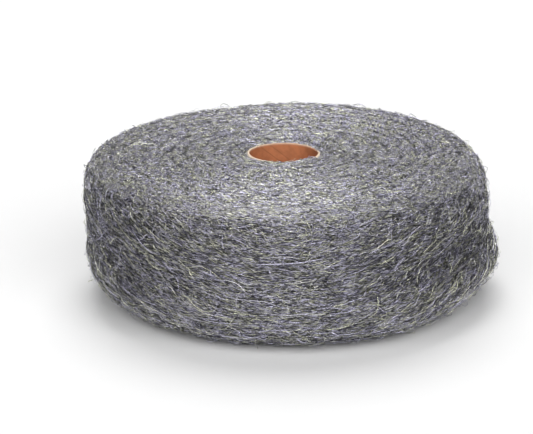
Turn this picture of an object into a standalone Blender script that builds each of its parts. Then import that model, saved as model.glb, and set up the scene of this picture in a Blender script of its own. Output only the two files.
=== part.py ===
"""Roll of steel wool: a long ribbon of wool wound in a spiral on a paper tube, standing on its end.

The roll stands on z = 0 with +Z up. The middle of its outline is at x = y = 0, so the tube has its
axis a few millimetres to one side, as the spiral's outline isn't round. Lengths are in metres.
"""

import math

import bmesh
import bpy
from mathutils import Vector

# The paper tube that the ribbon is wound on: its rim is sunk below the roll's highest level
CORE_BORE = 0.0508
CORE_WALL = 0.0013
CORE_RECESS = 0.0010
RIM_SINK = 0.0020
RIM_ROUNDING = 0.0004
CORE_SIDES = 64

# The ribbon of wool, and the turns of it that lie whole under the last one
CORE_CLEARANCE = 0.0003
RIBBON_THICKNESS = 0.0107
TURNS = 11
ROLL_HEIGHT = 0.1080

# The upper end dips towards the tube, to just under its rim
RIM_STANDOUT = 0.0009
DISH_WIDTH = 0.0140

# The soft edges of the roll: how far in and how far along the side each one reaches
TOP_EDGE_INSET = 0.0212
TOP_EDGE_DROP = 0.0291
FOOT_INSET = 0.0420
FOOT_RISE = 0.0410
EDGE_FULLNESS = 2.3

# The side swells low down, more and more towards the loose end, under a slight waist
BULGE = 0.0079
BULGE_HEIGHT = 0.0325
BULGE_SPAN = 0.0190
WAIST = 0.0011
WAIST_HEIGHT = 0.0553
WAIST_SPAN = 0.0088

# The roll leans a little to -X and its upper end rises a little to the rear
LEAN = 0.0034
TOP_TILT = 0.0018

# Uneven winding: shallow waves in the upper end and the side
TOP_WAVE = 0.0006
TOP_WAVES_ROUND = 3
SIDE_WAVE = 0.0007
SIDE_WAVES_ROUND = 5
WAVE_REACH = 0.0230

# The ribbon's webs: soft ridges along the winding, which wander up and down on their way round
WEB_RISE = 0.0017
WEB_SPACING = 0.0220
WEB_WANDER = 2.1
WEB_BENDS_ROUND = 3
WEB_TREMOR = 1.0
WEB_TREMORS_ROUND = 7

# The gap between one turn and the next, as a V in both ends
TURN_GAP_DEPTH = 0.0017
TURN_GAP_WIDTH = 0.0054

# The torn loose end of the ribbon, at the rear
TAIL_AZIMUTH = math.radians(104)
TAIL_LENGTH = 0.0850
TAIL_THICKNESS = 0.0027
TAIL_TEAR = 0.0038

# How finely the wool is divided
COLUMNS = 58
SIDE_POINTS = 22
WELD = 2e-6

CORE_RADIUS = CORE_BORE / 2 + CORE_WALL
CORE_TOP = ROLL_HEIGHT - RIM_SINK
WOOL_BORE = CORE_RADIUS + CORE_CLEARANCE
WOUND_RADIUS = WOOL_BORE + TURNS * RIBBON_THICKNESS
GAP_SHARE = TURN_GAP_WIDTH / 2 / RIBBON_THICKNESS
TAIL_SHARE = TAIL_LENGTH / (math.tau * WOUND_RADIUS)
TEAR_SHARE = TAIL_TEAR / (math.tau * WOUND_RADIUS)

WOOL_GREY = (0.30, 0.30, 0.31, 1.0)
PAPER_BROWN = (0.42, 0.16, 0.065, 1.0)


def clear_scene():
    for obj in list(bpy.data.objects):
        bpy.data.objects.remove(obj, do_unlink=True)


def make_material(name, colour, roughness, metallic):
    material = bpy.data.materials.new(name)
    material.use_nodes = True
    shader = material.node_tree.nodes["Principled BSDF"]
    shader.inputs["Base Color"].default_value = colour
    shader.inputs["Roughness"].default_value = roughness
    shader.inputs["Metallic"].default_value = metallic
    return material


def add_object(name, mesh, material, parent):
    mesh.materials.append(material)
    obj = bpy.data.objects.new(name, mesh)
    obj.parent = parent
    bpy.context.scene.collection.objects.link(obj)
    return obj


def finished_mesh(name, shape):
    """The bmesh as a smooth mesh with its faces pointing out."""
    bmesh.ops.recalc_face_normals(shape, faces=shape.faces)
    mesh = bpy.data.meshes.new(name)
    shape.to_mesh(mesh)
    shape.free()
    mesh.shade_smooth()
    mesh.set_sharp_from_angle(angle=math.radians(40))
    return mesh


def ease(share):
    """Smooth step from 0 to 1."""
    share = min(max(share, 0.0), 1.0)
    return share * share * (3 - 2 * share)


def hump(height, middle, span):
    """Bell curve that is 1 at the middle."""
    return math.exp(-(((height - middle) / span) ** 2))


def make_core_mesh():
    """A straight tube with slightly rounded rims, spun from its wall's section."""
    inner, outer = CORE_BORE / 2, CORE_RADIUS
    low, high = CORE_RECESS, CORE_TOP
    section = [
        (inner, low + RIM_ROUNDING),
        (inner + RIM_ROUNDING, low),
        (outer - RIM_ROUNDING, low),
        (outer, low + RIM_ROUNDING),
        (outer, high - RIM_ROUNDING),
        (outer - RIM_ROUNDING, high),
        (inner + RIM_ROUNDING, high),
        (inner, high - RIM_ROUNDING),
    ]
    shape = bmesh.new()
    points = [shape.verts.new((radius, 0, height)) for radius, height in section]
    edges = [shape.edges.new((a, b)) for a, b in zip(points, points[1:] + points[:1])]
    bmesh.ops.spin(
        shape,
        geom=points + edges,
        cent=(0, 0, 0),
        axis=(0, 0, 1),
        angle=math.tau,
        steps=CORE_SIDES,
        use_merge=True,
    )
    return finished_mesh("paper_core", shape)


def outer_radius(turn):
    """Radius of the wound roll at a share `turn` of the way round from the step at the loose end.

    It grows by one ribbon thickness in a turn. Over its last stretch the ribbon thins to its torn end.
    """
    if turn >= 1.0:
        return WOUND_RADIUS
    thinned = (RIBBON_THICKNESS - TAIL_THICKNESS) * ease(1 - (1 - turn) / TAIL_SHARE)
    return WOUND_RADIUS + turn * RIBBON_THICKNESS - thinned


def edge_drop(inward, inset, drop):
    """How far a soft edge falls away at a distance `inward` from the side: part of a superellipse."""
    past = max(0.0, 1 - inward / inset)
    return drop * (1 - (1 - past**EDGE_FULLNESS) ** (1 / EDGE_FULLNESS))


def edge_inset(along, inset, drop):
    """How far in the same soft edge lies at a distance `along` the side from the end."""
    past = max(0.0, 1 - along / drop)
    return inset * (1 - (1 - past**EDGE_FULLNESS) ** (1 / EDGE_FULLNESS))


def gap_depth(radius, turn):
    """Depth of the V between two turns, which runs in a spiral and fades out at the bore and the side."""
    across = (radius - WOOL_BORE) / RIBBON_THICKNESS - turn
    from_gap = abs(across - round(across))
    from_bore = (radius - WOOL_BORE) / RIBBON_THICKNESS
    from_side = (outer_radius(turn) - radius) / RIBBON_THICKNESS
    return TURN_GAP_DEPTH * ease(from_bore) * ease(from_side) * max(0.0, 1 - from_gap / GAP_SHARE)


def top_height(radius, turn, azimuth):
    """Height of the upper end: level, dipped towards the tube, with the gaps between turns."""
    clear = ease((radius - WOOL_BORE) / DISH_WIDTH)
    dip = (RIM_SINK + RIM_STANDOUT) * (1 - clear)
    wave = TOP_WAVE * clear * math.sin(TOP_WAVES_ROUND * azimuth + radius / WAVE_REACH)
    fall = edge_drop(outer_radius(turn) - radius, TOP_EDGE_INSET, TOP_EDGE_DROP)
    return ROLL_HEIGHT - dip + wave - fall - gap_depth(radius, turn)


def foot_height(radius, turn):
    """Height of the lower end: flat where it rests, with the same gaps between turns."""
    return edge_drop(outer_radius(turn) - radius, FOOT_INSET, FOOT_RISE) + gap_depth(radius, turn)


def end_radii(turn):
    """The radii across an end that follow the turns' spiral, from the bore to just short of the side."""
    limit = outer_radius(turn) - RIBBON_THICKNESS / 3
    radii = [WOOL_BORE]
    for lap in range(-1, TURNS + 2):
        for point in (0.0, GAP_SHARE, 1 - GAP_SHARE):
            radius = WOOL_BORE + (lap + point + turn) * RIBBON_THICKNESS
            radii.append(min(max(radius, WOOL_BORE), limit))
    return radii + [limit]


def side_points(turn, first, last):
    """Points (radius, height) up the side, between the ends' last points, closer where it bends."""
    points = []
    for step in range(1, SIDE_POINTS + 1):
        share = 0.5 - 0.5 * math.cos(math.pi * step / (SIDE_POINTS + 1))
        height = first[1] + (last[1] - first[1]) * share
        inset = edge_inset(height, FOOT_INSET, FOOT_RISE)
        inset += edge_inset(ROLL_HEIGHT - height, TOP_EDGE_INSET, TOP_EDGE_DROP)
        points.append((outer_radius(turn) - inset, height))
    return points


def web_ridge(height, azimuth):
    """How far a web of the ribbon stands out from the side, evenly spaced up it."""
    wander = WEB_WANDER * math.sin(WEB_BENDS_ROUND * azimuth)
    tremor = WEB_TREMOR * math.sin(WEB_TREMORS_ROUND * azimuth)
    return WEB_RISE / 2 * math.sin(math.tau * height / WEB_SPACING + wander + tremor)


def swelling(height, turn, azimuth):
    """How far the side stands out at a height: the low bulge, less the waist, with waves and webs."""
    bulge = BULGE * ease(turn * 1.2) * hump(height, BULGE_HEIGHT, BULGE_SPAN)
    waist = WAIST * hump(height, WAIST_HEIGHT, WAIST_SPAN)
    wave = SIDE_WAVE * math.sin(SIDE_WAVES_ROUND * azimuth + height / WAVE_REACH)
    return bulge - waist + wave + web_ridge(height, azimuth)


def settled(radius, height, turn, azimuth):
    """Places a point of the section: swollen near the side, with the roll's lean and tilted upper end."""
    near_side = ease(1 - (outer_radius(turn) - radius) / FOOT_INSET)
    outward = (radius - WOOL_BORE) / (WOUND_RADIUS - WOOL_BORE)
    upward = height / ROLL_HEIGHT
    radius += near_side * swelling(height, turn, azimuth)
    x, y = radius * math.cos(azimuth), radius * math.sin(azimuth)
    x += LEAN * outward * (0.5 - upward)
    return Vector((x, y, height + TOP_TILT * outward * upward * y / WOUND_RADIUS))


def wool_section(lap_share):
    """The section's closed outline at a share of the way round: foot, side, then the upper end inwards.

    At the full turn the points stand one turn further out, and the heights are those of the start.
    """
    azimuth = TAIL_AZIMUTH + math.tau * lap_share
    turn = lap_share % 1.0
    radii = end_radii(lap_share)
    foot = [(radius, foot_height(radius, turn)) for radius in radii]
    top = [(radius, top_height(radius, turn, azimuth)) for radius in radii]
    outline = foot + side_points(turn, foot[-1], top[-1]) + top[::-1]
    return [settled(radius, height, turn, azimuth) for radius, height in outline]


def make_wool_mesh():
    """Skins the sections with quads. Where the round closes, each turn meets the next one out."""
    shares = [column / COLUMNS for column in range(COLUMNS)] + [1 - TEAR_SHARE, 1.0]
    shape = bmesh.new()
    columns = [[shape.verts.new(point) for point in wool_section(share)] for share in shares]
    for near, far in zip(columns, columns[1:]):
        for k, point in enumerate(near):
            after = (k + 1) % len(near)
            shape.faces.new((point, far[k], far[after], near[after]))
    bmesh.ops.remove_doubles(shape, verts=shape.verts, dist=WELD)
    return finished_mesh("steel_wool", shape)


def middle_of(mesh):
    """The middle of the mesh's outline, seen from above."""
    low = Vector(map(min, zip(*(vertex.co for vertex in mesh.vertices))))
    high = Vector(map(max, zip(*(vertex.co for vertex in mesh.vertices))))
    middle = (low + high) / 2
    return Vector((middle.x, middle.y, 0))


def main():
    clear_scene()
    wool = make_wool_mesh()
    roll_axis = bpy.data.objects.new("roll_axis", None)
    bpy.context.scene.collection.objects.link(roll_axis)
    roll_axis.location = -middle_of(wool)
    add_object("steel_wool", wool, make_material("wound wool", WOOL_GREY, 0.5, 0.8), roll_axis)
    paper = make_material("brown paper", PAPER_BROWN, 0.75, 0.0)
    add_object("paper_core", make_core_mesh(), paper, roll_axis)


main()
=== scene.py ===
"""Steel wool roll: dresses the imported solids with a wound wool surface, its fibres and a paper tube.

Laid out as a Blender add-on and run as a script. Lengths are in metres, angles in radians, +Z is up.
"""

import math
from collections import namedtuple

import bpy
import numpy as np
from bpy.props import FloatProperty, FloatVectorProperty, IntProperty, PointerProperty
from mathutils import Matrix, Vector


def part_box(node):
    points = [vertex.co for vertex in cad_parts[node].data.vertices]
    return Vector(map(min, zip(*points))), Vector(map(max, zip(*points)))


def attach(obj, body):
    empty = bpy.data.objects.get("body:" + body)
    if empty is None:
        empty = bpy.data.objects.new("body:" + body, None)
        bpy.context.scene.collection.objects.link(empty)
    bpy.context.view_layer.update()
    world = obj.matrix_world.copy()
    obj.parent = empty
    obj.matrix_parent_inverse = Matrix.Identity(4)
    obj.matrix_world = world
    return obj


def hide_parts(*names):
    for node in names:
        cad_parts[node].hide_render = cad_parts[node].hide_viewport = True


bl_info = {
    "name": "Steel wool roll",
    "version": (1, 0, 0),
    "blender": (4, 5, 0),
    "location": "View3D > Sidebar > Wool roll",
    "description": "Makes a roll of steel wool, fibre by fibre, on its paper tube",
    "category": "Add Mesh",
}

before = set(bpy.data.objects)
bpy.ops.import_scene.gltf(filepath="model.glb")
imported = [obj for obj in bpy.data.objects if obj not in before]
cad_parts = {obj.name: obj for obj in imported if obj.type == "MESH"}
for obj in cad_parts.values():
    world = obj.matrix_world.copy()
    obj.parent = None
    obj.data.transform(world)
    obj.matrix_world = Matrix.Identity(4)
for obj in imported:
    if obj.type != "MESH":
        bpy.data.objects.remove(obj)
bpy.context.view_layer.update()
TUBE_LOW, TUBE_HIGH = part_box("paper_core")
TUBE_AXIS = (TUBE_LOW + TUBE_HIGH) / 2
TUBE_RADIUS = (TUBE_HIGH.x - TUBE_LOW.x) / 2

BODY = "root"
BAKE_MAP = "OFBake"
PHOTO_WIDTH = 533
SENSOR_WIDTH = 36.0
# Where the camera looks: along X from the tube's axis, and above the floor
AIM_ASIDE, AIM_HEIGHT = -0.0128, 0.0558

TAU = 2 * math.pi
QUARTER_TURN = 0.25
TINY = 1e-9

# Least heights above the floor
WOOL_CLEARANCE, FIBRE_CLEARANCE = 0.0004, 0.0003
# Half the stretch of the section over which its slope is taken
SLOPE_STEP = 1e-3
# A soft edge's length, against the straight line between its ends
EDGE_LENGTH = 1.15
# The side's waves: how many go round, and the rise over which they shift by a radian
WAVES, WAVE_RISE = 5, 0.023
# How far the side's soft ridges wander, in radians, and in how many waves
WEB_WANDER = ((2.1, 3), (1.0, 7))
# How many times faster the bulge grows than the roll, and the gaps fade than the upper edge curves
BULGE_HASTE, EDGE_HASTE = 1.2, 1.6
# Half a gap's width in turns and, in gap depths, its mean depth, how far that varies, and how far turns
# stand out or lie in
GAP_REACH, GAP_MEAN, GAP_VARIES, TURN_CROWN = 0.15, 0.75, 0.5, 0.3
# Shares of the section over which the turns and the lumps fade out beside the tube
TURN_MARGIN, LUMP_MARGIN = 0.03, 0.04
# Angles over which the crease deepens at its start and runs out at its end
CREASE_RAMPS = (0.12, 0.25)
# Share of the wool surface's rows that lie on the upper end
UPPER_END_ROWS = 0.56

# The tube's rim: how far down it reaches, its crown and the crown's width in walls, its roughness up and
# outwards, and how far across it the fine roughness repeats
RIM_REACH, RIM_CROWN, CROWN_WIDTH = 0.0008, 0.00025, 0.45
RIM_ROUGHNESS, RIM_SWAY, FINE_RIM_STRETCH = 0.00022, 0.00018, 0.03
# Where the rim is torn, worn and stained: the middle's angle, and how far it reaches
TORN_PLACE, WORN_PLACE, STAIN_PLACE = (0.45, 0.20), (math.pi / 2, 0.8), (0.42, 0.38)
# How deep and how dark the tear is, how worn the rim, how far down the stain's middle, and its reach
TEAR_DEPTH, TEAR_SHADE, WEAR, STAIN_DROP, STAIN_REACH = 0.0013, 0.9, 0.4, 0.004, 0.006
# Where the tube's seams run, as fractions of their pitch
SEAM_FRACTIONS = (0.748, 0.642)

# Share of the fibres that cross the others, and how much more their headings scatter
CROSSING_SHARE, CROSSING_SCATTER = 0.35, 3.0
# Shapes of the gamma distributions of the fibres' lengths and arches: small for very unequal ones
LENGTH_SHAPE, ARCH_SHAPE = 6.0, 3.0
# Limits of a fibre's width, against its layer's, and the power with which it thins to its ends
WIDTH_LIMITS, TAPER = (0.4, 2.2), 4
# Margins of the section that fibres keep clear, and round each fibre's place in the bake map
END_MARGIN, MAP_MARGIN = 0.004, 0.15
# Noise values between which the grain along a fibre goes from dark to light
GRAIN_LIMITS = (0.36, 0.64)

# Nets of random values: a seed, and how many cells go round and along
GAP_NET = (11, 1, 90)
LUMP_NET, FINE_LUMP_NET, FINE_LUMP_SHARE = (3, 26, 14), (5, 64, 40), 0.8
RIM_NET, FINE_RIM_NET, FINE_RIM_SHARE = (31, 90, 1), (33, 160, 1), 0.6

# A layer of fibres: where it lies along the section, how many it has, and how they run
Layer = namedtuple("Layer", "name low high count points length scatter width arch dip wave light seed")
# Layer light also paints light and shade: upper end's and foot's fibres lighter, the side's darker
LAYERS = (
    Layer("upper_end_needles", 0.0, 0.41, 23000, 3, 0.0070, 0.55, 0.85, 0.0007, 0.0001, 0.4, 3.1, 21),
    Layer("upper_end_fibres", 0.0, 0.42, 8500, 4, 0.0110, 0.45, 0.8, 0.0009, 0.0001, 0.6, 3.1, 22),
    Layer("side_needles", 0.38, 0.80, 33000, 3, 0.0080, 0.16, 0.85, 0.0006, 0.0, 0.3, 0.62, 23),
    Layer("side_fibres", 0.37, 0.80, 16000, 4, 0.0140, 0.14, 0.85, 0.0006, 0.0, 0.3, 0.62, 24),
    Layer("long_side_fibres", 0.42, 0.64, 1000, 7, 0.0320, 0.08, 0.95, 0.0012, 0.0, 0.25, 3.0, 29),
    Layer("foot_fibres", 0.585, 0.70, 2500, 4, 0.0100, 0.40, 1.0, 0.0020, 0.0, 0.6, 6.0, 28),
    Layer("lower_end_fibres", 0.76, 1.0, 6000, 3, 0.0090, 0.45, 1.4, 0.0007, 0.0005, 0.5, 2.5, 25),
    Layer("stray_fibres", 0.0, 0.80, 3200, 5, 0.0105, 0.7, 0.9, 0.0016, 0.0003, 0.6, 1.2, 26),
    Layer("bright_hairs", 0.02, 0.86, 900, 8, 0.017, 0.6, 1.1, 0.0014, 0.0, 0.9, 6.0, 27),
)

# Dents and, with negative depths, clumps: azimuth and share, their reaches in both, and the depth
Dent = namedtuple("Dent", "azimuth share reach_round reach_along depth")
DENTS = (
    Dent(-0.67, 0.252, 0.06, 0.012, 0.0022),
    Dent(2.55, 0.200, 0.10, 0.030, 0.0020),
    Dent(-0.90, 0.545, 0.07, 0.012, -0.0024),
    Dent(0.62, 0.026, 0.30, 0.016, 0.0030),
    Dent(-0.95, 0.006, 0.34, 0.014, -0.0027),
    Dent(-1.75, 0.008, 0.60, 0.016, -0.0014),
)

# Single hairs that show: azimuth and share at the start, middle and end, how far they lift, and their width
Hair = namedtuple("Hair", "start middle end lift width")
HAIRS = (
    Hair((-1.761, 0.459), (-1.536, 0.4545), (-1.368, 0.444), 0.0022, 0.00080),
    Hair((-1.639, 0.467), (-1.632, 0.483), (-1.604, 0.496), 0.0024, 0.00070),
    Hair((-1.918, 0.479), (-1.917, 0.488), (-1.906, 0.497), 0.0024, 0.00070),
    Hair((-2.032, 0.487), (-2.020, 0.498), (-1.996, 0.512), 0.0024, 0.00070),
    Hair((-2.615, 0.576), (-2.580, 0.585), (-2.524, 0.602), 0.0024, 0.00070),
    Hair((-0.860, 0.014), (-0.740, 0.004), (-0.620, 0.010), 0.0016, 0.00045),
    Hair((-0.930, 0.540), (-0.905, 0.533), (-0.870, 0.531), 0.0022, 0.00060),
    Hair((-0.945, 0.548), (-0.900, 0.541), (-0.850, 0.541), 0.0022, 0.00060),
)
# How many points a single hair has, how bright it is, and the seed of its random draws
HAIR_POINTS, HAIR_LIGHT, HAIR_SEED = 14, 30, 1


def ease(share):
    """Smooth step from 0 to 1: 3 s^2 - 2 s^3, level outside."""
    share = np.clip(share, 0, 1)
    return share * share * (3 - 2 * share)


def hump(value, middle, span):
    """Bell curve exp(-((value - middle) / span)^2)."""
    return np.exp(-(((value - middle) / span) ** 2))


def unevenness(net, azimuth, along):
    """Smooth random field from -1 to 1: random values at the crossings of a net, eased between them.

    The net closes round the roll. along is a share from 0 to 1.
    """
    seed, cells_round, cells_along = net
    values = np.random.default_rng(seed).uniform(-1, 1, (cells_round, cells_along + 2))
    across = (azimuth / TAU % 1) * cells_round
    down = np.clip(along, 0, 1) * cells_along
    column, row = np.floor(across).astype(int), np.floor(down).astype(int)
    right, below = ease(across - column), ease(down - row)
    column, after = column % cells_round, (column + 1) % cells_round
    upper = values[column, row] * (1 - right) + values[after, row] * right
    lower = values[column, row + 1] * (1 - right) + values[after, row + 1] * right
    return upper * (1 - below) + lower * below


def revolved(radius, height, azimuth):
    """Points of a profile that goes round the Z axis: (r cos a, r sin a, h)."""
    points = np.broadcast_arrays(radius * np.cos(azimuth), radius * np.sin(azimuth), height)
    return np.stack(points, axis=-1)


def from_right(azimuth):
    """The same angle between -pi and pi, counted from +X."""
    return (azimuth + math.pi) % TAU - math.pi


def settings_of(kind, **fitting):
    """A function that makes settings of one kind, each from its name, description and default."""

    def setting(name, description, default):
        return kind(name=name, description=description, default=default, **fitting)

    return setting


number = settings_of(FloatProperty)
length = settings_of(FloatProperty, unit="LENGTH")
angle = settings_of(FloatProperty, subtype="ANGLE")
portion = settings_of(FloatProperty, subtype="FACTOR", min=0.0, max=1.0)
colour = settings_of(FloatVectorProperty, subtype="COLOR")


class WoolRollSizes(bpy.types.PropertyGroup):
    roll_height: length("Roll height", "Height of the wound ribbon", 0.108)
    ribbon_thickness: length("Ribbon thickness", "How far the roll grows in a turn", 0.0107)
    turns: IntProperty(name="Turns", description="Whole turns under the last one", default=11)
    clearance: length("Tube clearance", "Gap from the tube to the wool", 0.0003)
    rim_sink: length("Rim sink", "How far the tube's rim is below the roll", 0.0020)
    rim_standout: length("Rim standout", "How far the rim is above the wool beside it", 0.0009)
    dish_width: length("Dish width", "Width of the dip round the tube", 0.0140)
    top_edge_inset: length("Upper edge inset", "How far in the soft upper edge starts", 0.0212)
    top_edge_drop: length("Upper edge drop", "How far down the soft upper edge reaches", 0.0291)
    foot_inset: length("Foot inset", "How far in the roll rests flat", 0.0420)
    foot_rise: length("Foot rise", "How far up the soft lower edge reaches", 0.0410)
    edge_fullness: number("Edge fullness", "Power of the soft edges' superellipse", 2.3)
    bulge: length("Bulge", "How far the side swells near its foot", 0.0079)
    bulge_height: length("Bulge height", "Height of the swelling's middle", 0.0325)
    bulge_span: length("Bulge span", "Half the swelling's height", 0.0190)
    waist: length("Waist", "Depth of the waist over it", 0.0011)
    waist_height: length("Waist height", "Height of the waist's middle", 0.0553)
    waist_span: length("Waist span", "Half the waist's height", 0.0088)
    lean: length("Lean", "How far the roll leans to -X", 0.0034)
    top_tilt: length("Upper end's tilt", "How far it rises to the rear", 0.0018)
    crease_depth: length("Crease depth", "Depth of the slanting crease at the right", 0.0030)
    crease_width: length("Crease width", "Half the crease's width", 0.0060)
    crease_start: angle("Crease start", "Where round the roll it starts", -0.99)
    crease_end: angle("Crease end", "Where round the roll it ends", -0.25)
    crease_share: portion("Crease share", "Its place along the section where it starts", 0.536)
    crease_climb: number("Crease climb", "How fast it rises, per radian", 0.130)
    droop: number("Droop", "Steepest slant of the side's fibres between front and sides", 0.25)
    wave: length("Wave", "Depth of the side's waves", 0.0007)
    web_rise: length("Web rise", "Height of the soft ridges along the side", 0.0006)
    web_spacing: length("Web spacing", "From one soft ridge to the next", 0.022)
    tail_azimuth: angle("Loose end", "Where round the roll the ribbon ends", math.radians(104))
    tail_length: length("Loose end's length", "Stretch over which the ribbon thins", 0.085)
    tail_thickness: length("Loose end's thickness", "Thickness where it is torn off", 0.0027)
    gap_depth: length("Gap depth", "Depth of the gaps between turns", 0.0020)
    lumps: length("Lumps", "Unevenness of the winding", 0.0002)
    underlay: length("Underlay", "How deep the dense wool lies under its outer fibres", 0.0009)


class WoolFibreLooks(bpy.types.PropertyGroup):
    thickness: length("Fibre thickness", "Mean thickness of a fibre", 0.00036)
    spread: portion("Spread", "How far thickness varies, as a share", 0.45)
    density: portion("Density", "Share of the full number of fibres", 1.0)
    dark: colour("Dark steel", "Colour of the dullest fibres", (0.09, 0.09, 0.095))
    bright: colour("Bright steel", "Colour of the brightest fibres", (0.95, 0.95, 0.95))
    metal: portion("Metal", "Share of a fibre that shines as metal", 0.95)
    dullness: portion("Dullness", "Roughness of the dullest fibres", 0.38)
    evenness: number("Evenness", "How alike fibres' brightness is: small for very unequal ones", 0.2)
    grain: portion("Grain", "How far brightness varies along a fibre", 0.8)
    dense_grain: portion("Dense grain", "How far the dense wool's drawn fibres darken on their way", 0.85)
    warm: colour("Warm tint", "Tint of the straw-coloured fibres", (0.97, 0.98, 0.77))
    cool: colour("Cool tint", "Tint of the blued fibres", (0.82, 0.80, 1.0))
    # Painted shade: the colour between the dense wool's drawn fibres and in its gaps
    deep: colour("Deep wool", "Colour of the gaps in the dense wool", (0.025, 0.025, 0.028))
    dense: colour("Dense wool", "Colour of the dense wool's own fibres", (1.0, 1.0, 1.0))
    dense_metal: portion("Dense wool's metal", "Share of the dense wool that shines as metal", 0.9)
    combing: portion("Combing", "How far the dense wool shines across its winding only", 0.90)
    # Painted shade: the dense wool is made darker on the side, and its line cut rises there so fewer lit
    # dashes show
    painted_side_shade: portion("Side dimming", "How much duller the dense wool is on the side", 0.32)
    side_shade_cut: number("Side shade cut", "How far the line cut rises down the side", 0.125)
    # Painted shade: the wool and its fibres are made darker in the gaps between turns
    painted_gap_shade: portion("Gap shade", "How much duller the wool is in the gaps between turns", 0.4)
    line_spacing: length("Line spacing", "From one drawn fibre of the dense wool to the next", 0.0006)
    line_length: length("Line length", "Length of the dense wool's drawn fibres", 0.0065)
    line_cut: portion("Line cut", "Noise value at which a drawn fibre starts", 0.30)
    line_rise: number("Line rise", "From there to where it is brightest", 0.08)
    line_relief: length("Line relief", "How far the drawn fibres seem to stand out", 0.0008)
    end_fineness: portion("End fineness", "How close the upper end's lines are, against the side's", 0.38)


class WoolTubeLooks(bpy.types.PropertyGroup):
    wall: length("Tube wall", "Thickness of the paper wall", 0.0011)
    seam_lead: length("Seam lead", "How far apart the seams are along the tube", 0.065)
    brown: colour("Paper", "Colour of the tube's wall", (0.45, 0.165, 0.068))
    pale: colour("Cut edge", "Colour of the tube's cut rim", (0.86, 0.70, 0.53))


class WoolStageLooks(bpy.types.PropertyGroup):
    distance: length("Camera distance", "From the tube's middle", 1.56)
    elevation: angle("Camera elevation", "Above level", 0.309)
    magnification: number("Magnification", "Photo pixels per millimetre at the tube's axis", 1.334)
    floor: colour("Floor", "Colour of the floor and backdrop", (0.82, 0.82, 0.82))
    bounce: colour("Bounce", "Colour with which the floor lights the roll", (0.8, 0.8, 0.8))
    wall: colour("Wall", "Colour of the wall round the floor", (0.35, 0.35, 0.35))
    overhead: number("Overhead light", "Strength of the lamp over the rear", 1.85)
    overhead_tilt: angle("Overhead light's tilt", "Its slant from above to the rear", math.radians(28))
    front: number("Front lights", "Strength of the two front lamps together", 4.3)
    front_spread: angle("Front lights' spread", "Their slant to left and right", math.radians(28))
    right_share: portion("Right share", "The right lamp's share of the front lights", 0.54)
    front_tilt: angle("Front lights' tilt", "Their slant from above to the front", math.radians(59))
    overhead_width: angle("Overhead light's width", "How wide it looks, for soft shadows", math.radians(42))
    front_width: angle("Front lights' width", "How wide each looks, for soft shadows", math.radians(60))
    fill: number("Fill", "Strength of the light from all round", 0.03)


class WoolRollSettings(bpy.types.PropertyGroup):
    sizes: PointerProperty(type=WoolRollSizes)
    fibres: PointerProperty(type=WoolFibreLooks)
    tube: PointerProperty(type=WoolTubeLooks)
    stage: PointerProperty(type=WoolStageLooks)


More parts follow.
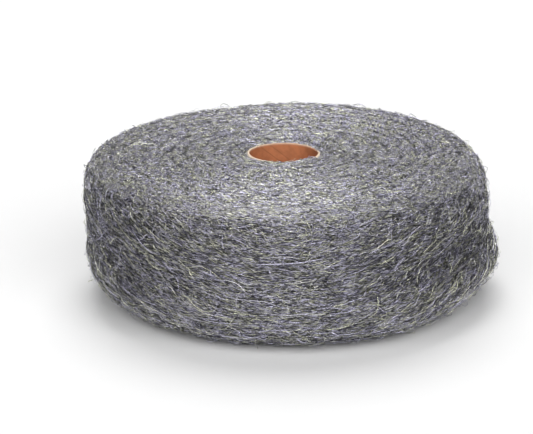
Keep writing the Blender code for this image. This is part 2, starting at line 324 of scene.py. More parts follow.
class RollForm:
    """The roll's surface as a function of azimuth and of the share along its section.

    The share runs from 0 at the tube's upper end, out over the roll, down its side and in under it, to 1
    at the tube's lower end. It has five stretches: upper end, upper edge, side, lower edge, lower end.
    """

    def __init__(self, size):
        self.size = size
        self.bore = TUBE_RADIUS + size.clearance
        self.wound = self.bore + size.turns * size.ribbon_thickness
        self.tail_share = size.tail_length / (TAU * self.wound)
        mean = self.wound + size.ribbon_thickness / 2
        upper_edge = EDGE_LENGTH * math.hypot(size.top_edge_inset, size.top_edge_drop)
        lower_edge = EDGE_LENGTH * math.hypot(size.foot_inset, size.foot_rise)
        upper_end, lower_end = mean - size.top_edge_inset - self.bore, mean - size.foot_inset - self.bore
        side = size.roll_height - size.top_edge_drop - size.foot_rise
        lengths = np.array([upper_end, upper_edge, side, lower_edge, lower_end])
        self.length = lengths.sum()
        ends = np.cumsum(lengths) / self.length
        self.starts, self.spans = ends - lengths / self.length, lengths / self.length

    def turn_at(self, azimuth):
        """Share of the way round from the step at the ribbon's loose end."""
        return (azimuth - self.size.tail_azimuth) / TAU % 1

    def outer_radius(self, turn):
        """Grows by a ribbon's thickness in a turn, and thins over the ribbon's last stretch."""
        size = self.size
        near_tail = ease(1 - (1 - turn) / self.tail_share)
        thinned = (size.ribbon_thickness - size.tail_thickness) * near_tail
        return self.wound + turn * size.ribbon_thickness - thinned

    def section(self, azimuth, along):
        """Radius and height at a share of the section: flats joined by two superellipse edges.

        With q the progress through an edge and p = 2 / fullness, the edge's inset is
        (1 - sin(q pi/2)^p) times its reach inwards, and its drop is (1 - cos(q pi/2)^p) times its reach
        down. Near the side the radius grows by bell curves of the height, the bulge and the waist, and by
        sine waves round the roll and up it.
        """
        size, power = self.size, 2 / self.size.edge_fullness
        turn = self.turn_at(azimuth)
        outer = self.outer_radius(turn)
        top, top_edge, side, foot_edge, foot = (
            np.clip((along - start) / span, 0, 1) for start, span in zip(self.starts, self.spans)
        )
        quarter = math.pi / 2
        inward = size.top_edge_inset * (1 - np.sin(quarter * top_edge) ** power)
        under = size.foot_inset * (1 - np.maximum(np.cos(quarter * foot_edge), 0) ** power)
        radius = self.bore + (outer - inward - self.bore) * top
        radius = radius - under - (outer - size.foot_inset - self.bore) * foot
        drop = size.top_edge_drop * (1 - np.maximum(np.cos(quarter * top_edge), 0) ** power)
        rise = size.foot_rise * (1 - np.sin(quarter * foot_edge) ** power)
        height = size.roll_height - drop
        height = height - (size.roll_height - size.top_edge_drop - size.foot_rise) * side
        height = np.where(foot_edge > 0, rise, height)
        clear = ease((radius - self.bore) / size.dish_width)
        height = height - (size.rim_sink + size.rim_standout) * (1 - clear) * (1 - side)
        near_side = ease(1 - (outer - radius) / size.foot_inset)
        swelling = size.bulge * ease(turn * BULGE_HASTE) * hump(height, size.bulge_height, size.bulge_span)
        swelling = swelling - size.waist * hump(height, size.waist_height, size.waist_span)
        swelling = swelling + size.wave * np.sin(WAVES * azimuth + height / WAVE_RISE)
        wander = sum(reach * np.sin(waves * azimuth) for reach, waves in WEB_WANDER)
        swelling = swelling + size.web_rise / 2 * np.sin(TAU * height / size.web_spacing + wander)
        return radius + near_side * swelling, height

    def on_ends(self, along):
        """1 on the two flat ends, where the ribbon's turns show, and 0 on the side and beside the tube."""
        on_top_edge = ease((along - self.starts[1]) / self.spans[1] * EDGE_HASTE)
        upper = ease(along / TURN_MARGIN) * (1 - on_top_edge)
        lower = ease((along - self.starts[3]) / self.spans[3]) * ease((1 - along) / TURN_MARGIN)
        return upper + lower

    def nearest_gap(self, azimuth, radius):
        """The number of the gap between turns that is nearest, and a bell that is 1 in it."""
        across = (radius - self.bore) / self.size.ribbon_thickness - self.turn_at(azimuth)
        lap = np.round(across)
        return lap, hump(across - lap, 0, GAP_REACH)

    def relief(self, azimuth, along, radius):
        """How far the wool stands out: uneven turns with gaps between them on the ends, and lumps."""
        size = self.size
        lap, gap = self.nearest_gap(azimuth, radius)
        most_laps = size.turns + 3
        unequal = unevenness(GAP_NET, np.zeros_like(azimuth), (lap + self.turn_at(azimuth)) / most_laps)
        gaps = size.gap_depth * (GAP_MEAN + GAP_VARIES * unequal) * gap
        crown = TURN_CROWN * size.gap_depth * unequal
        lumps = unevenness(LUMP_NET, azimuth, along)
        lumps = lumps + FINE_LUMP_SHARE * unevenness(FINE_LUMP_NET, azimuth, along)
        clear = ease(along / LUMP_MARGIN) * ease((1 - along) / LUMP_MARGIN)
        return self.on_ends(along) * (crown - gaps) + size.lumps * lumps * clear

    def dents(self, azimuth, along):
        """How far clumps stand out and dents and the crease over the low bulge lie in: bell curves.

        The crease climbs evenly with the angle, deepens at its start and runs out at its end.
        """
        lift = 0.0
        for dent in DENTS:
            across = hump(from_right(azimuth - dent.azimuth), 0, dent.reach_round)
            lift = lift - dent.depth * across * hump(along, dent.share, dent.reach_along)
        size = self.size
        right = from_right(azimuth)
        middle = size.crease_share - size.crease_climb * (right - size.crease_start)
        start_ramp, end_ramp = CREASE_RAMPS
        ends = ease((right - size.crease_start) / start_ramp) * ease((size.crease_end - right) / end_ramp)
        return lift - size.crease_depth * ends * hump(along, middle, size.crease_width / self.length)

    def place(self, azimuth, along, lift):
        """Points (..., 3) that stand `lift` out from the wool, and the surface's normals there.

        The normal is the section's slope turned outwards: (-dz, dr) in the plane through the axis. The roll
        then leans to -X, and its upper end rises to the rear, more the further out a point is.
        """
        size = self.size
        step = SLOPE_STEP / self.length
        radius, height = self.section(azimuth, along)
        ahead = self.section(azimuth, np.clip(along + step, 0, 1))
        behind = self.section(azimuth, np.clip(along - step, 0, 1))
        slope = np.stack([ahead[0] - behind[0], ahead[1] - behind[1]])
        slope = slope / np.maximum(np.hypot(*slope), TINY)
        out = lift + self.relief(azimuth, along, radius) + self.dents(azimuth, along)
        out = out - size.underlay * ease(along / TURN_MARGIN)
        settled = radius + out * -slope[1]
        height = np.maximum(height + out * slope[0], WOOL_CLEARANCE)
        outward = (settled - self.bore) / (self.wound - self.bore)
        upward = height / size.roll_height
        x = settled * np.cos(azimuth) + size.lean * outward * (0.5 - upward)
        y = settled * np.sin(azimuth)
        z = height + size.top_tilt * outward * upward * y / self.wound
        points = np.stack([x + TUBE_AXIS.x, y + TUBE_AXIS.y, z], axis=-1)
        return points, revolved(-slope[1], slope[0], azimuth)

    def spread(self, rng, count, low, high):
        """Random shares along the section between two shares, spread evenly over the surface's area."""
        steps = 400
        along = np.linspace(low, high, steps)
        radius, _ = self.section(np.zeros_like(along), along)
        filled = np.cumsum(radius)
        return np.interp(rng.uniform(filled[0], filled[-1], count), filled, along)


def new_object(name, points, faces, corner_map, material):
    """A mesh object of triangles or quads, at the origin, with a place in its UV map for each corner."""
    mesh = bpy.data.meshes.new(name)
    corners = faces.shape[1]
    mesh.vertices.add(len(points))
    mesh.vertices.foreach_set("co", points.astype(np.float32).ravel())
    mesh.loops.add(faces.size)
    mesh.loops.foreach_set("vertex_index", faces.astype(np.int32).ravel())
    mesh.polygons.add(len(faces))
    mesh.polygons.foreach_set("loop_start", np.arange(0, faces.size, corners, dtype=np.int32))
    layer = mesh.uv_layers.new(name=BAKE_MAP)
    layer.uv.foreach_set("vector", corner_map.astype(np.float32).ravel())
    mesh.update(calc_edges=True)
    mesh.validate()
    mesh.shade_smooth()
    mesh.materials.append(material)
    obj = bpy.data.objects.new(name, mesh)
    bpy.context.scene.collection.objects.link(obj)
    return obj


def store(obj, name, values):
    """Keeps a number for each point of a piece, which its material reads."""
    stored = obj.data.attributes.new(name, "FLOAT", "POINT")
    stored.data.foreach_set("value", values.ravel().astype(np.float32))


def ring_faces(columns, rows, down=None):
    """Quads of a grid that closes both ways, as corner indices and as corner places in the unit square.

    down gives the rows' places there, and one more for the end: even steps, where it isn't given.
    """
    down = np.arange(rows + 1) / rows if down is None else down
    column, row = np.meshgrid(np.arange(columns), np.arange(rows), indexing="ij")
    steps = ((0, 0), (0, 1), (1, 1), (1, 0))
    faces = [((column + a) % columns) * rows + (row + b) % rows for a, b in steps]
    places = [np.stack([(column + a) / columns, down[row + b]], axis=-1) for a, b in steps]
    return np.stack(faces, axis=-1).reshape(-1, 4), np.stack(places, axis=2).reshape(-1, 2)


def fibre_paths(form, layer, count, rng):
    """Centre lines (count, points, 3) of a layer's fibres, the normals there, and how near a gap each is.

    A fibre heads along the winding, turned by a random angle. On its way, with t from -1/2 to 1/2, it turns
    by bend t + wave sin(2 pi (t + phase)), and its height over the wool is arch cos(pi t) - dip.
    """
    azimuth = rng.uniform(0, TAU, count)[:, None]
    along = form.spread(rng, count, layer.low, layer.high)[:, None]
    long = layer.length * rng.gamma(LENGTH_SHAPE, 1 / LENGTH_SHAPE, count)[:, None]
    crossing = rng.uniform(size=count) < CROSSING_SHARE
    heading = rng.normal(0, np.where(crossing, CROSSING_SCATTER, 1.0) * layer.scatter)[:, None]
    heading = heading + form_heading(form, azimuth, along)
    t = np.linspace(-0.5, 0.5, layer.points)[None]
    bend = rng.normal(0, layer.wave, count)[:, None]
    wave = rng.normal(0, layer.wave, count)[:, None]
    phase = rng.uniform(0, 1, count)[:, None]
    turned = heading + bend * t + wave * np.sin(TAU * (t + phase))
    step = long / (layer.points - 1)
    forward = np.cumsum(np.cos(turned), axis=1) * step
    forward = forward - forward.mean(axis=1, keepdims=True)
    down = np.cumsum(np.sin(turned), axis=1) * step
    down = down - down.mean(axis=1, keepdims=True)
    radius, _ = form.section(azimuth, along)
    arch = layer.arch * rng.gamma(ARCH_SHAPE, 1 / ARCH_SHAPE, count)[:, None]
    lift = arch * np.cos(math.pi * t) - layer.dip
    gap = form.nearest_gap(azimuth, radius)[1] * form.on_ends(along)
    along = np.clip(along + down / form.length, END_MARGIN, 1 - END_MARGIN)
    return (*form.place(azimuth + forward / radius, along, lift), gap[:, 0])


def placed_paths(form):
    """Centre lines of the single hairs: curves of the second degree through their three places.

    A hair lifts off the wool by its lift times the square root of sin(pi t), with t from 0 to 1.
    """
    t = np.linspace(0, 1, HAIR_POINTS)[:, None]
    start, middle, end = (2 * (t - 0.5) * (t - 1), 4 * t * (1 - t), 2 * t * (t - 0.5))
    ways = np.stack([start * hair.start + middle * hair.middle + end * hair.end for hair in HAIRS])
    lift = np.array([hair.lift for hair in HAIRS])[:, None] * np.sin(math.pi * t[:, 0]) ** 0.5
    return form.place(ways[..., 0], ways[..., 1], lift)


def form_heading(form, azimuth, along):
    """The fibres' own slant on the side: droop sin(2 azimuth), and drawn up round the low bulge."""
    middle, edge_share, reach_round, reach_along, drawn_up = -0.45, 0.3, 0.75, 0.11, 0.2
    low_share = form.starts[3] + edge_share * form.spans[3]
    bulge = hump(from_right(azimuth), middle, reach_round) * hump(along, low_share, reach_along)
    side = ease((along - form.starts[1]) / form.spans[1])
    return form.size.droop * np.sin(2 * azimuth) * side - drawn_up * bulge


def fibre_faces(points):
    """Triangles of one closed three-sided spindle: a tip, `points` - 2 rings of three corners, and a tip.

    Also the corners' places in the unit square: how far along it, and how far round.
    """
    rings = points - 2
    faces, places = [], []
    for side in range(3):
        a, b = side, (side + 1) % 3
        u, v = side / 3, (side + 1) / 3
        faces.append((0, 1 + b, 1 + a))
        places.append(((0, u), (1 / (points - 1), v), (1 / (points - 1), u)))
        for ring in range(rings - 1):
            near, far = 1 + 3 * ring, 4 + 3 * ring
            x, y = (ring + 1) / (points - 1), (ring + 2) / (points - 1)
            faces += [(near + a, near + b, far + b), (near + a, far + b, far + a)]
            places += [((x, u), (x, v), (y, v)), ((x, u), (y, v), (y, u))]
        last = 1 + 3 * (rings - 1)
        x = rings / (points - 1)
        faces.append((last + a, last + b, 1 + 3 * rings))
        places.append(((x, u), (x, v), (1, v)))
    return np.array(faces), np.array(places)


def fibre_mesh(name, centres, normals, width, light, looks, rng, material):
    """Carries a three-cornered section along each centre line, thinned to a point at both ends.

    With t from -1/2 to 1/2 its width is that of the fibre times 1 - (2 t)^taper.
    """
    count, points, _ = centres.shape
    tangent = np.gradient(centres, axis=1)
    tangent /= np.linalg.norm(tangent, axis=-1, keepdims=True)
    side = np.cross(tangent, normals)
    side /= np.maximum(np.linalg.norm(side, axis=-1, keepdims=True), TINY)
    up = np.cross(side, tangent)
    t = np.linspace(-0.5, 0.5, points)[1:-1]
    thickness = (width[:, None] / 2 * (1 - (2 * t) ** TAPER))[:, :, None, None]
    angles = rng.uniform(0, TAU, count)[:, None] + np.arange(3) * TAU / 3
    cos, sin = np.cos(angles)[:, None, :, None], np.sin(angles)[:, None, :, None]
    rings = centres[:, 1:-1, None] + thickness * (side[:, 1:-1, None] * cos + up[:, 1:-1, None] * sin)
    corners = np.concatenate([centres[:, :1], rings.reshape(count, -1, 3), centres[:, -1:]], axis=1)
    corners[..., 2] = np.maximum(corners[..., 2], FIBRE_CLEARANCE)
    faces, places = fibre_faces(points)
    per_fibre = corners.shape[1]
    all_faces = (faces[None] + per_fibre * np.arange(count)[:, None, None]).reshape(-1, 3)
    cells = math.ceil(math.sqrt(count))
    cell = np.stack(np.divmod(np.arange(count), cells), axis=-1)
    corner_map = (cell[:, None, None] + MAP_MARGIN + (1 - 2 * MAP_MARGIN) * places[None]) / cells
    obj = new_object(name, corners.reshape(-1, 3), all_faces, corner_map, material)
    # Random tone about each fibre's light, which carries the painted light and shade
    shade = rng.beta(looks.evenness * light, looks.evenness, count)
    store(obj, "fibre_shade", np.repeat(shade, per_fibre))
    store(obj, "fibre_tint", np.repeat(rng.uniform(0, 1, count), per_fibre))
    return obj


def lay_fibres(settings, layer, material):
    """Makes one layer of fibres on the roll, riding on its body."""
    form = RollForm(settings.sizes)
    rng = np.random.default_rng(layer.seed)
    count = int(layer.count * settings.fibres.density)
    centres, normals, gap = fibre_paths(form, layer, count, rng)
    varied = rng.normal(1, settings.fibres.spread, count)
    width = layer.width * settings.fibres.thickness * np.clip(varied, *WIDTH_LIMITS)
    # Painted shade: fibres near a gap between turns are made darker
    light = layer.light * (1 - settings.fibres.painted_gap_shade * gap)
    obj = fibre_mesh(layer.name, centres, normals, width, light, settings.fibres, rng, material)
    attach(obj, BODY)
    return obj


class Value:
    """A shader socket. Arithmetic on it adds Math nodes to its finish."""

    def __init__(self, finish, socket):
        self.finish, self.socket = finish, socket

    def math(self, operation, *others):
        inputs = dict(enumerate((self, *others)))
        return self.finish.node("ShaderNodeMath", {"operation": operation}, inputs)

    def __add__(self, other):
        return self.math("ADD", other)

    def __mul__(self, other):
        return self.math("MULTIPLY", other)

    def __sub__(self, other):
        return self.math("SUBTRACT", other)

    def __rsub__(self, other):
        return self.finish.node("ShaderNodeMath", {"operation": "SUBTRACT"}, {0: other, 1: self})

    __radd__ = __add__
    __rmul__ = __mul__

    def about_one(self, share):
        """A factor that varies about 1 by half the share each way, as this value goes from 0 to 1."""
        return self * share + (1.0 - share / 2)

    def smooth(self, low, high):
        """Smooth step of this value between two limits."""
        values = {"Value": self, "From Min": low, "From Max": high}
        return self.finish.node("ShaderNodeMapRange", {"interpolation_type": "SMOOTHSTEP"}, values)


class Finish:
    """A material under construction, with its tree and its Principled shader."""

    def __init__(self, name, **constants):
        self.material = bpy.data.materials.new(name)
        self.material.use_nodes = True
        self.tree = self.material.node_tree
        self.shader = self.tree.nodes["Principled BSDF"]
        for socket, value in constants.items():
            self.shader.inputs[socket.replace("_", " ")].default_value = value

    def feed(self, socket, value):
        if isinstance(value, Value):
            self.tree.links.new(value.socket, socket)
        elif hasattr(value, "__len__") and socket.type == "RGBA" and len(value) == 3:
            socket.default_value = (*value, 1.0)
        else:
            socket.default_value = value

    def node(self, kind, settings, values, output=0):
        """Adds a node: its settings first, then its sockets' values or links. Returns one output."""
        node = self.tree.nodes.new(kind)
        for name, value in settings.items():
            setattr(node, name, value)
        for name, value in values.items():
            self.feed(node.inputs[name], value)
        return Value(self, node.outputs[output])

    def attribute(self, name):
        return self.node("ShaderNodeAttribute", {"attribute_name": name}, {}, "Fac")

    def place(self):
        return self.node("ShaderNodeTexCoord", {}, {}, "Object")

    def part(self, vector, axis):
        return self.node("ShaderNodeSeparateXYZ", {}, {0: vector}, axis)

    def shares(self):
        """Shares of the way round a piece and along its section, from its UV map."""
        place = self.node("ShaderNodeUVMap", {"uv_map": BAKE_MAP}, {})
        return self.part(place, "X"), self.part(place, "Y")

    def noise(self, vector, scale, detail=2.0, roughness=0.5):
        values = {"Vector": vector, "Scale": scale, "Detail": detail, "Roughness": roughness}
        return self.node("ShaderNodeTexNoise", {}, values, "Fac")

    def dashes(self, around, down, radius, slant, dash_length, spacing):
        """Noise drawn out into dashes on a roll, slanting to its winding, that meets where the roll closes.

        With p = down / (radius tan(slant)) - around, the noise is read in four dimensions at
        (a cos(around), a sin(around), b cos(p), b sin(p)), where a = radius / dash_length and
        b = radius sin(slant) / spacing, so going once round changes p by a whole turn. Dashes that
        don't slant are read at (a cos(around), a sin(around), down / spacing).
        """
        size = radius / dash_length
        x, y = around.math("COSINE") * size, around.math("SINE") * size
        values = {"Scale": 1.0, "Detail": 1.0, "Roughness": 0.4}
        if slant:
            phase = down * (1 / (radius * math.tan(slant))) - around
            reach = radius * math.sin(slant) / spacing
            values["Vector"] = self.vector(x, y, phase.math("COSINE") * reach)
            values["W"] = phase.math("SINE") * reach
            return self.node("ShaderNodeTexNoise", {"noise_dimensions": "4D"}, values, "Fac")
        values["Vector"] = self.vector(x, y, down * (1 / spacing))
        return self.node("ShaderNodeTexNoise", {}, values, "Fac")

    def mix(self, factor, first, second, blend="MIX"):
        """Mixes two colours. The Mix node's colour sockets are its seventh and eighth."""
        settings = {"data_type": "RGBA", "blend_type": blend}
        return self.node("ShaderNodeMix", settings, {0: factor, 6: first, 7: second}, 2)

    def vector(self, x, y, z):
        return self.node("ShaderNodeCombineXYZ", {}, {0: x, 1: y, 2: z})

    def bump(self, height, distance, strength=1.0):
        values = {"Height": height, "Distance": distance, "Strength": strength}
        return self.node("ShaderNodeBump", {}, values)

    def set(self, socket, value):
        self.feed(self.shader.inputs[socket], value)


def scaled(paint, share):
    """A colour made lighter or darker."""
    return tuple(share * part for part in paint)


def fibre_finish(looks):
    """Loose steel fibres: each has its own brightness, which carries painted light and shade, and a straw
    or blue cast, duller in patches.
    """
    patch_scale, patch_share, grain_scale = 45.0, 0.4, 1500.0
    cast_limits, polish = (0.15, 0.68), 0.12
    finish = Finish("steel fibre", Metallic=looks.metal)
    shade, tint = finish.attribute("fibre_shade"), finish.attribute("fibre_tint")
    patches = finish.noise(finish.place(), patch_scale, 3.0)
    grain = finish.noise(finish.place(), grain_scale, 1.0).smooth(*GRAIN_LIMITS)
    level = shade * patches.about_one(patch_share) * grain.about_one(looks.grain)
    steel = finish.mix(level.smooth(0.0, 1.0), looks.dark, looks.bright)
    cast = finish.mix(tint.smooth(*cast_limits), looks.warm, looks.cool)
    finish.set("Base Color", finish.mix(1.0, steel, cast, "MULTIPLY"))
    finish.set("Roughness", looks.dullness - level * polish)
    return finish.material


def painted_gap_mask(round_it, share, form):
    """1 in the gaps between turns on the upper end, and 0 half-way from one to the next: a mask of painted
    shade.

    It follows RollForm.nearest_gap: on the upper end the radius grows evenly with the share.
    """
    size, shade_limits = form.size, (0.02, 0.26)
    from_tail = round_it - size.tail_azimuth / TAU
    turn = from_tail.math("FRACT")
    laps = (form.wound - size.top_edge_inset - form.bore) / size.ribbon_thickness
    across = share * (1 / form.starts[1]) * (turn + laps) - turn
    edge_middle = form.starts[1] + form.spans[1] / 2
    on_end = share.smooth(0.0, TURN_MARGIN) * (1.0 - share.smooth(form.starts[1], edge_middle))
    return on_end * (1.0 - across.math("PINGPONG", 0.5).smooth(*shade_limits))


def underlay_finish(looks, form):
    """The dense wool under the outer fibres: the brightest of three layers of dashes, with painted shade
    between them.

    The dashes lie closer together on the upper end. They sway with two noises, and on the side they
    droop by droop radius (cos(2 azimuth) + 1) / 2. A layer of finer dashes is their grain.
    """
    curl_scale, curl, sway_scale, sway = 240.0, 0.0018, 60.0, 0.006
    steep_slant, back_slant, grain_slant = math.radians(10), math.radians(-12), math.radians(4)
    back_shift, grain_shift, grain_lines = 0.05, 0.02, (0.0026, 0.00045)
    side_start, side_end, cast_limits = (0.34, 0.40), (0.54, 0.62), (0.40, 0.56)
    roughness, polish = 0.62, 0.14
    combed = {"Anisotropic": looks.combing, "Anisotropic_Rotation": QUARTER_TURN}
    finish = Finish("dense wool", Metallic=looks.dense_metal, **combed)
    round_it, share = finish.shares()
    down = share * form.length
    down = down + finish.noise(finish.place(), curl_scale, 2.0) * curl
    down = down + finish.noise(finish.place(), sway_scale, 1.0) * sway
    on_end = down.math("MINIMUM", form.starts[1] * form.length)
    down = down - on_end * (1 - looks.end_fineness)
    around = round_it * TAU
    drooping = ((around * 2).math("COSINE") + 1.0) * (form.size.droop * form.wound / 2)
    down = down + drooping * share.smooth(form.starts[1], form.starts[2])
    lines = (looks.line_length, looks.line_spacing)
    level = finish.dashes(around, down, form.wound, 0.0, *lines)
    steep = finish.dashes(around, down, form.wound, steep_slant, *lines)
    back = finish.dashes(around, down + back_shift, form.wound, back_slant, *lines)
    grain = finish.dashes(around, down + grain_shift, form.wound, grain_slant, *grain_lines)
    # Painted shade on the side: the cut rises and the grey is dimmed over this mask
    side = share.smooth(*side_start) - share.smooth(*side_end)
    cut = side * looks.side_shade_cut + looks.line_cut
    lit = level.math("MAXIMUM", steep.math("MAXIMUM", back)).smooth(cut, cut + looks.line_rise)
    lit = lit * (grain.smooth(*GRAIN_LIMITS) * looks.dense_grain + (1.0 - looks.dense_grain))
    # Painted shade in the gaps between turns
    lit = lit * (1.0 - painted_gap_mask(round_it, share, form) * looks.painted_gap_shade)
    # The deep colour is painted shade between the drawn fibres
    grey = finish.mix(lit * (1.0 - side * looks.painted_side_shade), looks.deep, looks.dense)
    cast = finish.mix(steep.smooth(*cast_limits), looks.warm, looks.cool)
    finish.set("Base Color", finish.mix(1.0, grey, cast, "MULTIPLY"))
    finish.set("Roughness", roughness - lit * polish)
    finish.set("Normal", finish.bump(lit, looks.line_relief))
    return finish.material


def paper_finish(looks):
    """Brown paper, mottled, with a pair of thin seams where its plies meet and a pale cut rim.

    The seams fall on helices: with p = 2 round - height / lead, they are where p has two set fractions.
    """
    mottle_scale, mottle_limits, fibre_scale = 170.0, (0.3, 0.75), 1400.0
    light_mottle, dark_mottle, seam_shade, stain_shade, torn_shade = 1.14, 0.86, 0.4, 0.45, 0.8
    seam_strength, stain_strength, seam_limits, wall_end = 0.5, 0.45, (0.002, 0.008), (0.600, 0.605)
    roughness, rough_mottle, relief, relief_strength = 0.72, 0.15, 0.0002, 0.6
    finish = Finish("kraft paper", Metallic=0.0)
    round_it, share = finish.shares()
    place = finish.place()
    turned = round_it * 2 - (finish.part(place, "Z") - TUBE_HIGH.z) * (1 / looks.seam_lead)
    inside = 1.0 - share.smooth(*wall_end)
    mottle = finish.noise(place, mottle_scale, 4.0, 0.6)
    fibre = finish.noise(place, fibre_scale, 2.0)
    brown = looks.brown
    dark, light = scaled(brown, dark_mottle), scaled(brown, light_mottle)
    wall = finish.mix(mottle.smooth(*mottle_limits), dark, light)
    for fraction in SEAM_FRACTIONS:
        from_seam = (turned - fraction).math("PINGPONG", 0.5)
        seam = inside * (1.0 - from_seam.smooth(*seam_limits))
        wall = finish.mix(seam * seam_strength, wall, scaled(brown, seam_shade))
    wall = finish.mix(finish.attribute("stain") * stain_strength, wall, scaled(brown, stain_shade))
    torn = finish.mix(fibre, scaled(looks.pale, torn_shade), looks.pale)
    finish.set("Base Color", finish.mix(finish.attribute("cut_edge"), wall, torn))
    finish.set("Roughness", roughness + mottle * rough_mottle)
    finish.set("Normal", finish.bump(fibre * 0.5 + mottle * 0.5, relief, relief_strength))
    return finish.material


class WOOL_OT_wind_ribbon(bpy.types.Operator):
    """Winds the dense ribbon of wool, whose turns and gaps carry the loose fibres"""

    bl_idname = "wool_roll.wind_ribbon"
    bl_label = "Wind ribbon"
    columns: IntProperty(name="Columns", description="Divisions round the roll", default=560)
    rows: IntProperty(name="Rows", description="Divisions along the section", default=136)

    def execute(self, context):
        settings = context.scene.wool_roll
        form = RollForm(settings.sizes)
        down = np.interp(np.linspace(0, 1, self.rows), (0, UPPER_END_ROWS, 1), (0, form.starts[1], 1))
        azimuth, along = np.meshgrid(np.arange(self.columns) * TAU / self.columns, down, indexing="ij")
        points, _ = form.place(azimuth, along, 0.0)
        faces, places = ring_faces(self.columns, self.rows, np.append(down * (1 - 1 / self.rows), 1))
        material = underlay_finish(settings.fibres, form)
        ribbon = new_object("wound_ribbon", points.reshape(-1, 3), faces, places, material)
        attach(ribbon, BODY)
        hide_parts("steel_wool")
        return {"FINISHED"}


class WOOL_OT_lay_fibres(bpy.types.Operator):
    """Lays the loose fibres and the single hairs on the roll, along its winding"""

    bl_idname = "wool_roll.lay_fibres"
    bl_label = "Lay fibres"

    def execute(self, context):
        settings = context.scene.wool_roll
        material = fibre_finish(settings.fibres)
        for layer in LAYERS:
            lay_fibres(settings, layer, material)
        rng = np.random.default_rng(HAIR_SEED)
        centres, normals = placed_paths(RollForm(settings.sizes))
        width, light = np.array([hair.width for hair in HAIRS]), HAIR_LIGHT
        hairs = fibre_mesh("single_hairs", centres, normals, width, light, settings.fibres, rng, material)
        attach(hairs, BODY)
        return {"FINISHED"}


class WOOL_OT_paper_tube(bpy.types.Operator):
    """Turns the paper tube's profile about its axis: up the inner wall, over the rough rim, and back"""

    bl_idname = "wool_roll.paper_tube"
    bl_label = "Paper tube"
    columns: IntProperty(name="Columns", description="Divisions round the tube", default=220)

    def execute(self, context):
        looks = context.scene.wool_roll.tube
        inner, outer = TUBE_RADIUS - looks.wall, TUBE_RADIUS
        low, high = TUBE_LOW.z, TUBE_HIGH.z
        up_wall, over_rim, down_wall, under_rim, crowding = 26, 7, 6, 4, 3
        over = np.linspace(inner, outer, over_rim + 2)[1:-1]
        under = np.linspace(outer, inner, under_rim + 2)[1:-1]
        up = high - (high - low) * np.linspace(1, 0, up_wall) ** crowding
        down = np.linspace(high, low, down_wall)
        radius = np.concatenate([np.full(up_wall, inner), over, np.full(down_wall, outer), under])
        height = np.concatenate([up, np.full(over_rim, high), down, np.full(under_rim, low)])
        azimuth = (np.arange(self.columns) * TAU / self.columns)[:, None]
        radius, height, azimuth = np.broadcast_arrays(radius, height, azimuth)
        crown = RIM_CROWN * hump(radius, (inner + outer) / 2, looks.wall * CROWN_WIDTH)
        at_rim = hump(height, high, RIM_REACH)
        rough = unevenness(RIM_NET, azimuth, 0 * radius)
        across_rim = radius / FINE_RIM_STRETCH % 1
        rough = rough + FINE_RIM_SHARE * unevenness(FINE_RIM_NET, azimuth, across_rim)
        torn = hump(from_right(azimuth), *TORN_PLACE)
        worn = 1 - WEAR * hump(azimuth, *WORN_PLACE)
        radius = radius + RIM_SWAY * rough * at_rim
        height = height + at_rim * (crown + RIM_ROUGHNESS * rough - TEAR_DEPTH * torn)
        stain = hump(from_right(azimuth), *STAIN_PLACE) * hump(height, high - STAIN_DROP, STAIN_REACH)
        pale = at_rim * (1 - TEAR_SHADE * torn) * worn
        points = revolved(radius, height, azimuth) + (TUBE_AXIS.x, TUBE_AXIS.y, 0.0)
        faces, places = ring_faces(self.columns, radius.shape[1])
        material = paper_finish(looks)
        tube = new_object("paper_tube", points.reshape(-1, 3), faces, places, material)
        store(tube, "cut_edge", pale)
        store(tube, "stain", stain)
        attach(tube, BODY)
        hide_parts("paper_core")
        return {"FINISHED"}


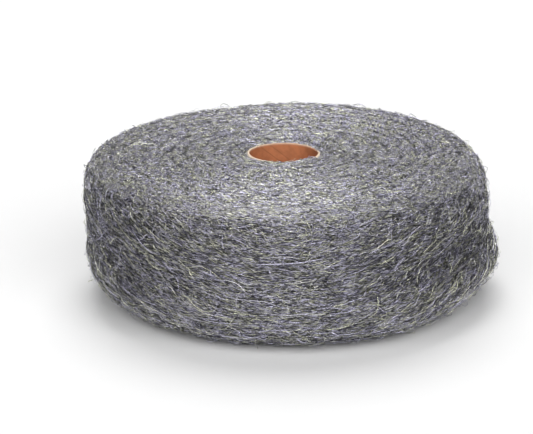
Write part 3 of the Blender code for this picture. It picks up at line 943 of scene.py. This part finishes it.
class WOOL_OT_set_stage(bpy.types.Operator):
    """Sets a plain pale studio: floor and backdrop, three soft lamps, and the camera"""

    bl_idname = "wool_roll.set_stage"
    bl_label = "Set stage"

    def execute(self, context):
        looks = context.scene.wool_roll.stage
        self.add_backdrop(looks)
        self.add_light(context, looks)
        self.add_camera(context, looks)
        context.scene.view_settings.view_transform = "Standard"
        return {"FINISHED"}

    def add_backdrop(self, looks):
        """A round floor that curves up into a wall: a profile turned about the axis.

        What is seen of it has the colour of floor and wall, and the light it throws has the bounce's.
        """
        floor_rings, floor_radius, cove, wall_height, columns = (0.001, 1, 2, 3), 4.0, 1.0, 1.6, 96
        wall_start, wall_full, roughness, cove_rings = 2.5, 4.5, 0.9, 12
        bend = np.linspace(0, math.pi / 2, cove_rings)
        radius = np.concatenate([floor_rings, floor_radius + cove * np.sin(bend), [floor_radius + cove]])
        height = np.concatenate([0 * np.array(floor_rings), cove * (1 - np.cos(bend)), [wall_height]])
        azimuth = (np.arange(columns) * TAU / columns)[:, None]
        points = revolved(radius, height, azimuth)
        faces, places = ring_faces(columns, len(radius))
        open_sheet = (np.arange(len(faces)) % len(radius)) != len(radius) - 1
        faces = faces[open_sheet][:, ::-1]
        places = places.reshape(-1, 4, 2)[open_sheet].reshape(-1, 2)
        finish = Finish("studio paper", Roughness=roughness, Specular_IOR_Level=0.0)
        length_of = {"operation": "LENGTH"}
        from_middle = finish.node("ShaderNodeVectorMath", length_of, {0: finish.place()}, "Value")
        paper = finish.mix(from_middle.smooth(wall_start, wall_full), looks.floor, looks.wall)
        seen = finish.node("ShaderNodeLightPath", {}, {}, "Is Camera Ray")
        for kind in ("Is Glossy Ray", "Is Transmission Ray"):
            seen = seen.math("MAXIMUM", finish.node("ShaderNodeLightPath", {}, {}, kind))
        finish.set("Base Color", finish.mix(seen, looks.bounce, paper))
        floor = new_object("studio_floor", points.reshape(-1, 3), faces, places, finish.material)

    def add_light(self, context, looks):
        """Three soft lamps: one over the rear, and two in front, to the left and right."""
        front = (looks.front_tilt, looks.front_width)
        for name, strength, turn, (tilt, width) in (
            ("overhead_light", looks.overhead, 0.0, (-looks.overhead_tilt, looks.overhead_width)),
            ("left_light", looks.front * (1 - looks.right_share), -looks.front_spread, front),
            ("right_light", looks.front * looks.right_share, looks.front_spread, front),
        ):
            lamp = bpy.data.lights.new(name, "SUN")
            lamp.energy, lamp.angle = strength, width
            holder = bpy.data.objects.new(name, lamp)
            holder.rotation_euler = (tilt, 0.0, turn)
            context.scene.collection.objects.link(holder)
        world = bpy.data.worlds.new("studio")
        world.use_nodes = True
        background = world.node_tree.nodes["Background"]
        background.inputs["Color"].default_value = (1.0, 1.0, 1.0, 1.0)
        background.inputs["Strength"].default_value = looks.fill
        context.scene.world = world

    def add_camera(self, context, looks):
        """A long lens, aimed a little left of the tube and above its middle, as the photo is framed."""
        camera = bpy.data.cameras.new("camera")
        camera.sensor_width = SENSOR_WIDTH
        camera.lens = camera.sensor_width * looks.magnification * looks.distance * 1000 / PHOTO_WIDTH
        aim = Vector((TUBE_AXIS.x + AIM_ASIDE, TUBE_AXIS.y, AIM_HEIGHT))
        back = Vector((0.0, -math.cos(looks.elevation), math.sin(looks.elevation)))
        holder = bpy.data.objects.new("camera", camera)
        holder.location = aim + back * looks.distance
        holder.rotation_euler = (-back).to_track_quat("-Z", "Y").to_euler()
        context.scene.collection.objects.link(holder)
        context.scene.camera = holder


class VIEW3D_PT_wool_roll(bpy.types.Panel):
    bl_label = "Steel wool roll"
    bl_space_type = "VIEW_3D"
    bl_region_type = "UI"
    bl_category = "Wool roll"

    def draw(self, context):
        for operator in OPERATORS:
            self.layout.operator(operator.bl_idname)
        settings = context.scene.wool_roll
        for group in (settings.sizes, settings.fibres, settings.tube, settings.stage):
            box = self.layout.box()
            for name in group.bl_rna.properties.keys():
                if name not in ("rna_type", "name"):
                    box.prop(group, name)


OPERATORS = (WOOL_OT_wind_ribbon, WOOL_OT_lay_fibres, WOOL_OT_paper_tube, WOOL_OT_set_stage)
GROUPS = (WoolRollSizes, WoolFibreLooks, WoolTubeLooks, WoolStageLooks, WoolRollSettings)
CLASSES = (*GROUPS, *OPERATORS, VIEW3D_PT_wool_roll)


def register():
    for item in CLASSES:
        bpy.utils.register_class(item)
    bpy.types.Scene.wool_roll = PointerProperty(type=WoolRollSettings)


def unregister():
    del bpy.types.Scene.wool_roll
    for item in reversed(CLASSES):
        bpy.utils.unregister_class(item)


def main():
    register()
    bpy.ops.wool_roll.wind_ribbon()
    bpy.ops.wool_roll.lay_fibres()
    bpy.ops.wool_roll.paper_tube()
    bpy.ops.wool_roll.set_stage()


if __name__ == "__main__":
    main()
